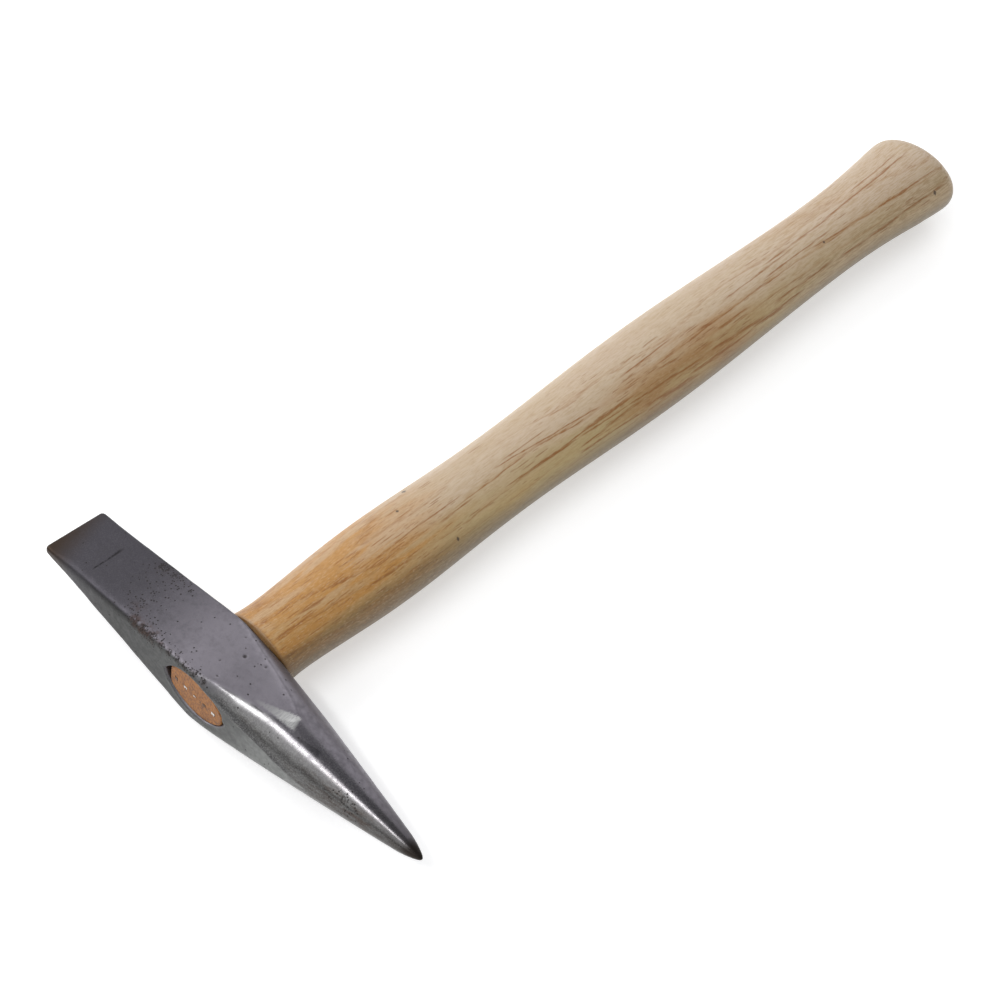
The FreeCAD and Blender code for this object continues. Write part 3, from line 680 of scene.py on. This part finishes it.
def steel_look():
    """Forged head: slate scale with pits, rust and heat tint, ground at the point, with painted
    highlights and painted shade.
    """
    look = Look("forged_steel")
    place = look.place(CROSSING)
    x, y, z = look.split(place)
    ground, worn = look.mask("ground"), look.mask("worn")
    outer, lean = look.mask("outer"), look.mask("lean")

    wheel = look.times(ground, look.ease(lean, 0.25, 0.05))
    clouds = look.noise(place, (14, 9, 11), 4, 0.55)
    mottle = look.noise(place, (1.7, 1.7, 1.7), 4, 0.6)
    grains = look.noise(place, (0.4, 0.4, 0.4), 3, 0.65)
    marks = look.noise(place, (0.3, 2.6, 2.6), 3, 0.65)
    streaks = look.noise(place, (9.0, 1.2, 1.2), 3, 0.6)

    # slate cheeks and the greener face that holds the eye, with painted shade: darker towards
    # the chisel edge, and the outer face darker than the cheeks
    colour = look.mix(look.ease(x, -44.0, 14.0), SLATE_SHADED_AT_EDGE, SLATE_LIT_AT_POINT)
    # painted shade: the outer face darker than the cheeks, most of all at the chisel edge
    outside = look.mix(look.ease(x, -40.0, 12.0), OUTER_SHADED_AT_EDGE, OUTER_SHADED_AT_EYE)
    outside = look.mix(look.ease(x, 12.0, 32.0), outside, OUTER_SHADED_AT_POINT)
    colour = look.mix(look.times(outer, look.ease(x, -66.0, -34.0, 0.35, 1.0)), colour, outside)
    grey = look.mix(look.ease(streaks, 0.35, 0.7), WHEEL_LIGHT, WHEEL_DARK)
    colour = look.mix(look.times(ground, outer), colour, grey)

    # the V where that face runs out on the point: a painted highlight, with painted shade along
    # its border
    vee = look.sum(look.math("ABSOLUTE", z), look.times(look.minus(x, 34.0), 0.25))
    vee = look.sum(look.minus(vee, 2.6), look.times(look.minus(mottle, 0.5), 0.6))
    side = look.ease(lean, -0.50, -0.66)
    flat = look.times(look.times(look.ease(vee, 0.2, -0.3), side), look.ease(x, 8.0, 30.0))
    # painted highlight at the V's end
    colour = look.paint(colour, V_HIGHLIGHT, flat, 0.75)
    # painted shade line along the V's border
    v_border_shade = look.band(vee, (-0.4, 0.2), (2.6, 0.5))
    v_border_shade = look.times(v_border_shade, look.band(x, (6.0, 12.0), (40.0, 33.0)))
    colour = look.paint(colour, V_BORDER_SHADE, look.times(v_border_shade, side), 0.62)

    # ground point: painted shade in a band on the cheek side of the ridge, and painted
    # highlight with burnish marks along the outer side
    ridge_shade_band = look.band(lean, (-0.42, -0.30), (0.30, -0.12))
    ridge_shade_band = look.times(look.times(ground, ridge_shade_band), look.ease(x, 16.0, 40.0))
    burnish_and_highlight = look.band(lean, (-0.30, -0.42), (-0.72, -0.52))
    burnish_and_highlight = look.times(ground, burnish_and_highlight)
    # painted shade on the surfaces that face the butt
    colour = look.mix(look.ease(lean, 0.10, 0.45, 0.0, 0.28), colour, SLATE_SHADED_BEHIND)
    colour = look.paint(colour, RIDGE_SHADE_BAND, ridge_shade_band, look.ease(x, 30.0, 60.0, 0.58, 0.74))
    colour = look.paint(colour, BURNISH_AND_HIGHLIGHT, burnish_and_highlight, look.ease(marks, 0.3, 0.65, 0.25, 0.55))

    # patches of scale, grains of bare metal, and the shine of worn arrises
    patchy = look.sum(look.times(clouds, 0.5), look.times(mottle, 0.5))
    colour = look.mix(look.ease(patchy, 0.42, 0.66, 0.0, 0.30), colour, SLATE_PATCH)
    salt = look.times(look.ease(grains, 0.42, 0.70), look.ease(wheel, 0.0, 1.0, 0.07, 0.40))
    colour = look.mix(salt, colour, BARE_GRAIN)
    worn = look.times(worn, look.times(look.ease(lean, 0.15, -0.05, 0.1, 1.0),
                                       look.ease(x, -34.0, -8.0, 0.1, 1.0)))
    colour = look.paint(colour, WORN_ARRIS, worn, look.ease(grains, 0.35, 0.65, 0.05, 0.28))

    # painted shade dims the ground point towards the tip
    far = look.times(ground, look.ease(x, 50.0, 76.0))
    colour = look.paint(colour, POINT_END_SHADE, far, 0.50)

    # painted shade on the arris and the crown strip, heat tint, smudges and tip
    arris = look.band(lean, (-0.04, -0.22), (-0.78, -0.50))
    arris = look.times(arris, look.ease(x, -14.0, -26.0))
    colour = look.paint(colour, ARRIS_SHADE, arris, 0.20)
    # painted shade on the strip behind the crown, where surfaces face the butt
    crown_shade = look.band(lean, (0.04, 0.20), (0.55, 0.32))
    colour = look.paint(colour, CROWN_SHADE, crown_shade, 0.25)
    to_edge = look.sum(look.times(look.sum(x, 68.0), 0.10),
                       look.times(look.sum(y, 10.5), 0.028))
    to_edge = look.sum(to_edge, look.times(look.minus(mottle, 0.5), 0.35))
    heat = look.ease(to_edge, 1.25, 0.10)
    colour = look.paint(colour, HEAT_BROWN, heat, 0.92)
    smudge = look.times(look.ease(x, 34.0, 60.0), look.ease(y, 0.5, -4.0))
    smudge = look.times(smudge, look.ease(streaks, 0.40, 0.62, 0.0, 0.6))
    colour = look.mix(smudge, colour, SMUDGE)
    tip = look.ease(look.sum(x, look.times(look.minus(mottle, 0.5), 3.0)), 74.5, 79.0)
    colour = look.paint(colour, TIP_DARK, tip, 0.92)

    # the scratch, a painted highlight flare, painted highlight along the ridge and painted
    # shade beside it
    scratch = look.times(scratch_mask(look, x, y, z, mottle),
                         look.math("MAXIMUM", look.ease(mottle, 0.34, 0.50, 0.3, 1.0),
                                   look.ease(y, 0.0, 2.0)))
    colour = look.paint(colour, SCRATCH, scratch, 0.85)
    # painted highlight where the cheek runs out on the point
    flare = stripe(look, x, y, (17.5, -3.4), (31.0, 0.9), 0.5, 2.2, marks)
    flare = look.times(flare, look.ease(x, 17.0, 27.0, 0.35, 1.0))
    flare = look.times(look.times(flare, look.ease(z, 4.0, 6.0)),
                       look.ease(marks, 0.3, 0.6, 0.5, 0.95))
    colour = look.mix(flare, colour, look.mix(look.ease(x, 22.0, 30.0), FLARE_HIGHLIGHT_START, FLARE_HIGHLIGHT_END))
    off_ridge = look.minus(look.sum(y, 7.6), look.times(look.minus(x, 12.0), 0.27))
    off_ridge = look.sum(off_ridge, look.times(look.minus(marks, 0.5), 0.8))
    # painted highlight along the ridge
    ridge_highlight = look.ease(look.math("ABSOLUTE", off_ridge), 1.7, 0.1)
    ridge_highlight = look.times(ridge_highlight, look.band(x, (10.0, 15.0), (29.0, 20.0)))
    ridge_highlight = look.times(ridge_highlight, look.ease(z, 4.0, 6.0))
    colour = look.paint(colour, RIDGE_HIGHLIGHT, ridge_highlight, 0.60)
    # painted shade line beside the ridge
    shade_line = stripe(look, x, y, (17.5, -5.0), (42.0, -0.6), 0.3, 0.8, streaks)
    shade_line = look.times(shade_line, look.ease(z, 4.0, 6.0))
    colour = look.paint(colour, RIDGE_BORDER_SHADE, shade_line, 0.6)

    # pits of three sizes, rust between them and dents
    density = look.mask("pitted")
    uneven = look.times(look.minus(grains, 0.5), 0.35)
    small, small_kind = look.cells(place, (0.72, 0.72, 0.72))
    small = look.ease(look.sum(small, uneven), 0.44, 0.30)
    small = look.times(small, look.math("GREATER_THAN", density, small_kind))
    large, large_kind = look.cells(place, (2.4, 2.4, 2.4))
    large = look.ease(look.sum(large, look.times(uneven, 0.3)), 0.17, 0.10)
    large = look.times(large, look.math("GREATER_THAN", look.times(density, 0.8), large_kind))
    scab = look.ease(look.noise(place, (0.55, 0.55, 0.55), 3, 0.65), 0.49, 0.56)
    scab = look.times(scab, look.ease(density, 0.52, 0.88))
    pits = look.math("MAXIMUM", look.math("MAXIMUM", small, large), scab)
    dark = look.math("MAXIMUM", pits, look.mask("dented"))
    rust = look.times(look.ease(density, 0.2, 0.8), look.ease(mottle, 0.40, 0.60))
    rust = look.times(rust, look.ease(x, -12.0, -20.0, 0.25, 1.0))
    rust = look.times(rust, look.ease(y, -4.0, -8.5, 0.10, 1.0))
    colour = look.paint(colour, RUST, rust, 0.45)
    flecks = look.times(look.ease(density, 0.5, 0.9), look.ease(grains, 0.60, 0.68))
    colour = look.paint(colour, RUST_FLECK, flecks, 0.7)
    colour = look.paint(colour, PIT_BLACK, dark, 0.88)

    # gloss and relief
    shine = look.ease(mottle, 0.3, 0.7, 0.40, 0.50)
    shine = look.sum(shine, look.times(wheel, -0.15))
    shine = look.sum(shine, look.times(ridge_highlight, 0.08))
    shine = look.sum(shine, look.times(worn, look.ease(x, 6.0, -4.0, 0.0, 0.22)))
    shine = look.sum(shine, look.times(look.math("MAXIMUM", dark, rust), 0.25))
    metal = look.minus(1.0, look.times(dark, 0.5))
    forged = look.noise(place, (2.6, 2.2, 2.4), 2, 0.4)
    height = look.times(forged, look.ease(wheel, 0.0, 1.0, 0.30, 0.05))
    height = look.sum(height, look.times(grains, look.ease(wheel, 0.0, 1.0, 0.015, 0.12)))
    height = look.sum(height, look.times(look.times(marks, wheel), 0.30))
    height = look.minus(height, look.times(pits, 0.9))
    height = look.minus(height, look.times(scratch, 0.6))
    return look.finish(height, STEEL_BUMP, Base_Color=colour, Metallic=metal, Roughness=shine)


def stripe(look, x, y, start, end, half_start, half_end, ragged):
    """A ragged stripe on the cheeks from start to end, seen from above; millimetres."""
    length = math.hypot(end[0] - start[0], end[1] - start[1])
    along = ((end[0] - start[0]) / length, (end[1] - start[1]) / length)
    dx, dy = look.minus(x, start[0]), look.minus(y, start[1])
    reach = look.sum(look.times(dx, along[0]), look.times(dy, along[1]))
    off = look.math("ABSOLUTE", look.minus(look.times(dy, along[0]), look.times(dx, along[1])))
    half = look.ease(reach, 0.0, length, half_start, half_end)
    fray = look.times(look.minus(ragged, 0.5), 2.4)
    inside = look.ease(look.minus(look.sum(off, fray), half), 0.35, -0.35)
    ends = look.times(look.ease(reach, -1.0, 1.5),
                      look.ease(look.sum(reach, fray), length, length - 1.2))
    return look.times(inside, ends)


def scratch_mask(look, x, y, z, ragged):
    """One thin broken scratch on the upper cheek, side by side with the chisel edge."""
    bend = look.times(look.minus(ragged, 0.5), 0.9)
    line = look.sum(look.sum(x, 51.2), look.sum(bend, look.times(y, -0.03)))
    line = look.math("ABSOLUTE", line)
    within = look.band(y, (-6.8, -5.0), (6.4, 3.0))
    wide = look.ease(y, -1.0, 2.5, 0.38, 0.62)
    return look.times(look.times(look.ease(line, wide, 0.12), within), look.ease(z, 0.0, 1.0))


def ash_look():
    """Lacquered ash: growth rings round a distant pith, with open pores in each ring, and
    painted shade on the lower flank, the butt's side and at the shoulder.
    """
    look = Look("lacquered_ash")
    place = look.place((CROSSING.x, CROSSING.y, AXIS_Z))
    x, y, z = look.split(place)

    # growth rings: how far from the pith, pushed about by three noises
    slow = look.minus(look.noise(place, (26, 95, 26), 2, 0.5), 0.5)
    wavy = look.minus(look.noise(place, (5.5, 42, 5.5), 3, 0.5), 0.5)
    frayed = look.minus(look.noise(place, (1.1, 13, 1.1), 4, 0.7), 0.5)
    radius = look.math("POWER", look.sum(look.math("POWER", look.sum(x, -PITH_X), 2.0),
                                         look.math("POWER", look.sum(z, -PITH_Z), 2.0)), 0.5)
    depth = look.sum(radius, look.times(slow, 5.5))
    depth = look.sum(depth, look.times(wavy, 1.9))
    depth = look.sum(depth, look.times(frayed, 0.8))
    depth = look.sum(depth, look.times(y, 0.012))
    rings = look.math("DIVIDE", depth, RING_WIDTH)
    phase = look.math("FRACT", rings)
    one_ring = {"W": look.math("FLOOR", rings)}
    vigour = look.node("TexWhiteNoise", one_ring, noise_dimensions="1D").outputs["Value"]
    halo = look.band(phase, (0.0, 0.05), (0.36, 0.06))
    core = look.band(phase, (0.0, 0.03), (0.14, 0.05))

    # where the wood is warm, and the red patch
    near_head = look.ease(look.sum(y, look.times(wavy, 40.0)), 98.0, 48.0)
    red = look.band(y, (138.0, 165.0), (222.0, 192.0))
    red = look.times(red, look.ease(look.sum(x, look.times(wavy, 14.0)), 0.0, 8.0))
    bands = look.noise(place, (2.4, 26, 2.4), 3, 0.55)
    red = look.times(red, look.ease(bands, 0.35, 0.60, 0.25, 1.0))
    warm = look.math("MAXIMUM", near_head, look.times(red, 0.35))

    # how strong the rings are from place to place
    fade = look.noise(place, (6, 30, 6), 3, 0.6)
    clean = look.times(look.ease(look.sum(x, look.times(wavy, 10.0)), -1.0, -5.0),
                       look.band(y, (70.0, 92.0), (235.0, 200.0)))
    clean = look.minus(1.0, look.times(clean, 0.85))
    halo = look.times(halo, look.ease(fade, 0.33, 0.60, 0.25, 0.95))
    halo = look.times(halo, clean)
    halo = look.times(halo, look.ease(vigour, 0.0, 1.0, 0.45, 1.0))
    dashes = look.noise(place, (0.55, 8.0, 0.55), 3, 0.6)
    core = look.times(core, look.ease(dashes, 0.36, 0.54, 0.1, 1.0))
    core = look.times(core, look.ease(fade, 0.36, 0.56, 0.20, 1.0))
    core = look.times(look.times(core, clean), look.ease(y, 222.0, 245.0, 1.0, 0.4))
    core = look.times(core, look.ease(vigour, 0.1, 0.9, 0.40, 1.0))
    fibre = look.noise(place, (0.36, 4.5, 0.36), 4, 0.7)
    halo = look.times(halo, look.ease(fibre, 0.36, 0.60, 0.45, 1.0))

    # open pores, long and short, crowded in the rings
    pore, pore_kind = look.cells(place, (0.60, 9.0, 0.60))
    pore = look.ease(look.sum(pore, look.times(look.minus(fibre, 0.5), 0.5)), 0.40, 0.26)
    shorts, shorts_kind = look.cells(place, (0.48, 4.0, 0.48))
    shorts = look.ease(look.sum(shorts, look.times(look.minus(fibre, 0.5), 0.5)), 0.38, 0.24)
    crowd = look.sum(look.times(halo, 0.60), look.times(warm, 0.30))
    crowd = look.times(look.sum(crowd, look.times(red, 0.3)), clean)
    pore = look.times(pore, look.math("GREATER_THAN", look.sum(crowd, 0.03), pore_kind))
    shorts = look.times(shorts, look.math("GREATER_THAN", look.sum(crowd, 0.02), shorts_kind))
    pores = look.math("MAXIMUM", pore, look.times(shorts, 0.8))

    # colour of the wood
    tone = look.noise(place, (9, 50, 9), 3, 0.5)
    heartwood = look.times(look.ease(depth, 76.0, 65.0), look.ease(y, 190.0, 240.0, 1.0, 0.5))
    pale = look.mix(heartwood, SAPWOOD, HEARTWOOD)
    olive = look.times(look.ease(tone, 0.38, 0.62, 0.0, 0.75),
                       look.ease(heartwood, 0.0, 0.6, 0.2, 1.0))
    pale = look.mix(olive, pale, OLIVE_WOOD)
    warm = look.times(warm, look.ease(bands, 0.36, 0.60, 0.50, 1.0))
    colour = look.mix(warm, pale, WARM_WOOD)
    colour = look.paint(colour, RED_WOOD, red, look.ease(x, 5.0, 12.0, 0.26, 0.52))
    lines = look.mix(warm, RING_PALE, RING_WARM)
    colour = look.paint(colour, lines, halo, 0.56)
    colour = look.paint(colour, RING_CORE, core, 0.88)
    colour = look.paint(colour, FIBRE, look.ease(fibre, 0.42, 0.64),
                        look.ease(y, 190.0, 240.0, 0.32, 0.46))
    colour = look.mix(look.times(pores, 0.66), colour,
                      look.mix(near_head, PORE_PALE, PORE_WARM))
    veins = vein_mask(look, x, y, z, frayed, dashes)
    colour = look.paint(colour, VEIN, veins, 0.84)

    # painted shade along the lower flank
    lower_side_shade = look.ease(look.sum(radius, look.times(wavy, 3.0)), 65.0, 57.0)
    colour = look.paint(colour, LOWER_SIDE_SHADE, lower_side_shade, 0.80)
    # painted shade on the flank, strongest near the head
    flank = look.minus(look.sum(x, look.times(wavy, 3.0)), look.times(y, 0.035))
    flank = look.times(look.ease(flank, 7.2, 10.8), look.ease(y, 190.0, 140.0))
    flank = look.times(flank, look.ease(fibre, 0.36, 0.60, 0.50, 0.68))
    colour = look.mix(flank, colour, FLANK_SHADE)

    # fine flecks, light and dull, and painted shade on the side of the butt
    flecks = look.noise(place, (0.34, 1.5, 0.34), 3, 0.7)
    strong = look.ease(warm, 0.0, 0.8, 0.45, 1.0)
    lit = look.times(look.ease(flecks, 0.52, 0.68, 0.0, 0.34), strong)
    colour = look.mix(lit, colour, FLECK_LIT)
    dull = look.times(look.ease(flecks, 0.46, 0.32, 0.0, 0.42), strong)
    colour = look.mix(dull, colour, FLECK_DULL)
    butt = look.times(look.ease(look.sum(x, look.times(wavy, 4.0)), 7.0, 11.0),
                      look.ease(y, 212.0, 245.0))
    butt = look.times(butt, look.ease(fibre, 0.35, 0.60, 0.0, 0.26))
    colour = look.mix(butt, colour, BUTT_SIDE_SHADE)

    # painted shade at the shoulder, specks and end grain
    foot = (SHOULDER_Y - CROSSING.y) / MM
    colour = look.mix(look.ease(y, foot + 1.3, foot + 0.1, 0.0, 0.55), colour, SHOULDER_SHADE)
    for speck_x, speck_y, size in SPECKS:
        away = look.math("ABSOLUTE", look.minus(x, speck_x))
        away = look.sum(away, look.math("ABSOLUTE", look.minus(y, speck_y)))
        speck = look.times(look.ease(away, size, 0.4 * size), look.ease(z, 0.0, 1.0))
        colour = look.paint(colour, SPECK, speck, 0.85)
    end_grain = look.ease(y, -10.6, -11.1)
    sawn = look.ease(look.noise(place, (0.35, 0.5, 1.1), 3, 0.65), 0.38, 0.66)
    sawn = look.mix(sawn, SAWN_LIGHT, SAWN_DARK)
    spot = look.ease(look.noise(place, (1.3, 1.3, 1.3), 2, 0.5), 0.60, 0.66)
    sawn = look.paint(sawn, SAWN_SPOT, spot, 0.5)
    colour = look.paint(colour, sawn, end_grain, 0.96)

    # gloss and relief
    shine = look.ease(fibre, 0.3, 0.7, 0.36, 0.48)
    shine = look.sum(shine, look.times(end_grain, 0.25))
    height = look.minus(look.times(fibre, 0.4), look.times(pores, 0.5))
    height = look.minus(height, look.times(core, 0.15))
    material = look.finish(height, WOOD_BUMP, Base_Color=colour, Roughness=shine)
    look.shader.inputs["Coat Weight"].default_value = 0.10
    look.shader.inputs["Coat Roughness"].default_value = 0.25
    return material


def vein_mask(look, x, y, z, frayed, dashes):
    """The few long dark earlywood veins that show along the top of the grip."""
    veins = 0.0
    for start, end, y_start, y_end, half in VEINS:
        slope = (end - start) / (y_end - y_start)
        middle = look.sum(look.times(look.minus(y, y_start), slope), start)
        middle = look.sum(middle, look.times(frayed, 1.6))
        line = look.ease(look.math("ABSOLUTE", look.minus(x, middle)), half, 0.2 * half)
        ends = look.band(y, (y_start - 2, y_start + 3), (y_end + 2, y_end - 4))
        veins = look.math("MAXIMUM", veins, look.times(line, ends))
    veins = look.times(veins, look.ease(dashes, 0.34, 0.50, 0.40, 1.0))
    return look.times(veins, look.ease(z, 0.0, 2.0))


def wedge_look():
    """Wedge: dark where it was drawn, bright where the driving has burnished the teeth."""
    look = Look("wedge_steel")
    place = look.place((CROSSING.x, HANDLE_LOW.y, AXIS_Z))
    x, y = look.split(place)[:2]
    scale = look.noise(place, (0.5, 1.2, 0.5), 4, 0.6)
    patch = look.noise(place, (2.3, 2.3, 2.3), 2, 0.5)
    bright = look.times(look.ease(y, 0.5, 0.15), look.ease(patch, 0.25, 0.5))
    bright = look.times(bright, look.math("GREATER_THAN", x, -6.2))
    missed = look.math("LESS_THAN", look.math("ABSOLUTE", look.minus(x, 4.0)), 1.8)
    bright = look.times(bright, look.minus(1.0, missed))
    colour = look.mix(look.ease(scale, 0.3, 0.7), DRAWN_DARK, DRAWN_LIGHT)
    ragged = look.ease(look.noise(place, (0.45, 0.45, 0.45), 3, 0.7), 0.44, 0.54)
    bright = look.times(bright, ragged)
    colour = look.mix(look.ease(y, 1.0, 0.3), colour, WEDGE_RUST)
    colour = look.mix(bright, colour, UPSET_TOOTH)
    shine = look.ease(scale, 0.3, 0.7, 0.24, 0.4)
    return look.finish(scale, WEDGE_BUMP, Base_Color=colour, Metallic=1.0, Roughness=shine)


def floor_look():
    """Plain matt white sheet, lit a little from beneath, with the faintest tooth."""
    look = Look("studio_paper")
    place = look.place((0, 0, 0))
    tooth = look.noise(place, (1.5, 1.5, 1.5), 3, 0.5)
    colour = look.mix(tooth, PAPER_LOW, PAPER_HIGH)
    material = look.finish(tooth, PAPER_BUMP, Base_Color=colour, Roughness=0.9)
    look.shader.inputs["Emission Color"].default_value = (1, 1, 1, 1)
    look.shader.inputs["Emission Strength"].default_value = FLOOR_GLOW
    return material


# ---- studio ----------------------------------------------------------------------------
def make_floor():
    """The pale sheet that the hammer lies on."""
    mesh = bpy.data.meshes.new("floor")
    signs = (-1, -1), (1, -1), (1, 1), (-1, 1)
    corners = [(x * FLOOR_REACH, y * FLOOR_REACH, 0) for x, y in signs]
    mesh.from_pydata(corners, [], [(0, 1, 2, 3)])
    mesh.materials.append(floor_look())
    new_piece("floor", mesh)


def add_softbox(name, way, distance, wide, deep, power):
    """A soft rectangular light that looks at the hammer; wide runs along X."""
    lamp = bpy.data.lights.new(name, "AREA")
    lamp.shape = "RECTANGLE"
    lamp.size, lamp.size_y = wide, deep
    lamp.energy = power
    holder = new_piece(name, lamp)
    out = Vector(way).normalized()
    across = Vector((1, 0, 0)) - out * out.x
    if across.length < 0.5:
        across = Vector((0, 1, 0)) - out * out.y
    across.normalize()
    frame_axes = Matrix((across, out.cross(across), out)).transposed()
    holder.matrix_world = Matrix.Translation(AIM + out * distance) @ frame_axes.to_4x4()


def make_light():
    """Four softboxes and an even pale world, shown without a film curve."""
    for row in SOFTBOXES:
        add_softbox(*row)
    world = bpy.data.worlds.new("studio")
    bpy.context.scene.world = world
    world.use_nodes = True
    backdrop = world.node_tree.nodes["Background"]
    backdrop.inputs["Color"].default_value = (0.97, 0.98, 1.0, 1)
    backdrop.inputs["Strength"].default_value = WORLD_GLOW
    bpy.context.scene.view_settings.view_transform = "Standard"


def make_camera():
    """A long lens on the photo's side of the hammer, with no depth of field."""
    azimuth, elevation = math.radians(VIEW_AZIMUTH), math.radians(VIEW_ELEVATION)
    back = Vector((math.sin(azimuth) * math.cos(elevation),
                   -math.cos(azimuth) * math.cos(elevation), math.sin(elevation)))
    data = bpy.data.cameras.new("camera")
    data.lens = VIEW_LENS
    camera = new_piece("camera", data)
    level = (-back).to_track_quat("-Z", "Y").to_matrix().to_4x4()
    turn = level @ Matrix.Rotation(math.radians(VIEW_ROLL), 4, "Z")
    camera.matrix_world = Matrix.Translation(AIM + back * VIEW_DISTANCE) @ turn
    bpy.context.scene.camera = camera


make_camera()
make_floor()
make_light()

head, handle, wedge = make_head(), make_handle(), make_wedge()
cut_slot(handle, wedge)
for piece, node, slot, look in ((head, "head", "head_steel", steel_look()),
                                (handle, "handle", "handle_ash", ash_look()),
                                (wedge, "wedge", "wedge_steel", wedge_look())):
    piece.data.materials.clear()
    piece.data.materials.append(look)
    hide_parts(node)
    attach(piece, "root")
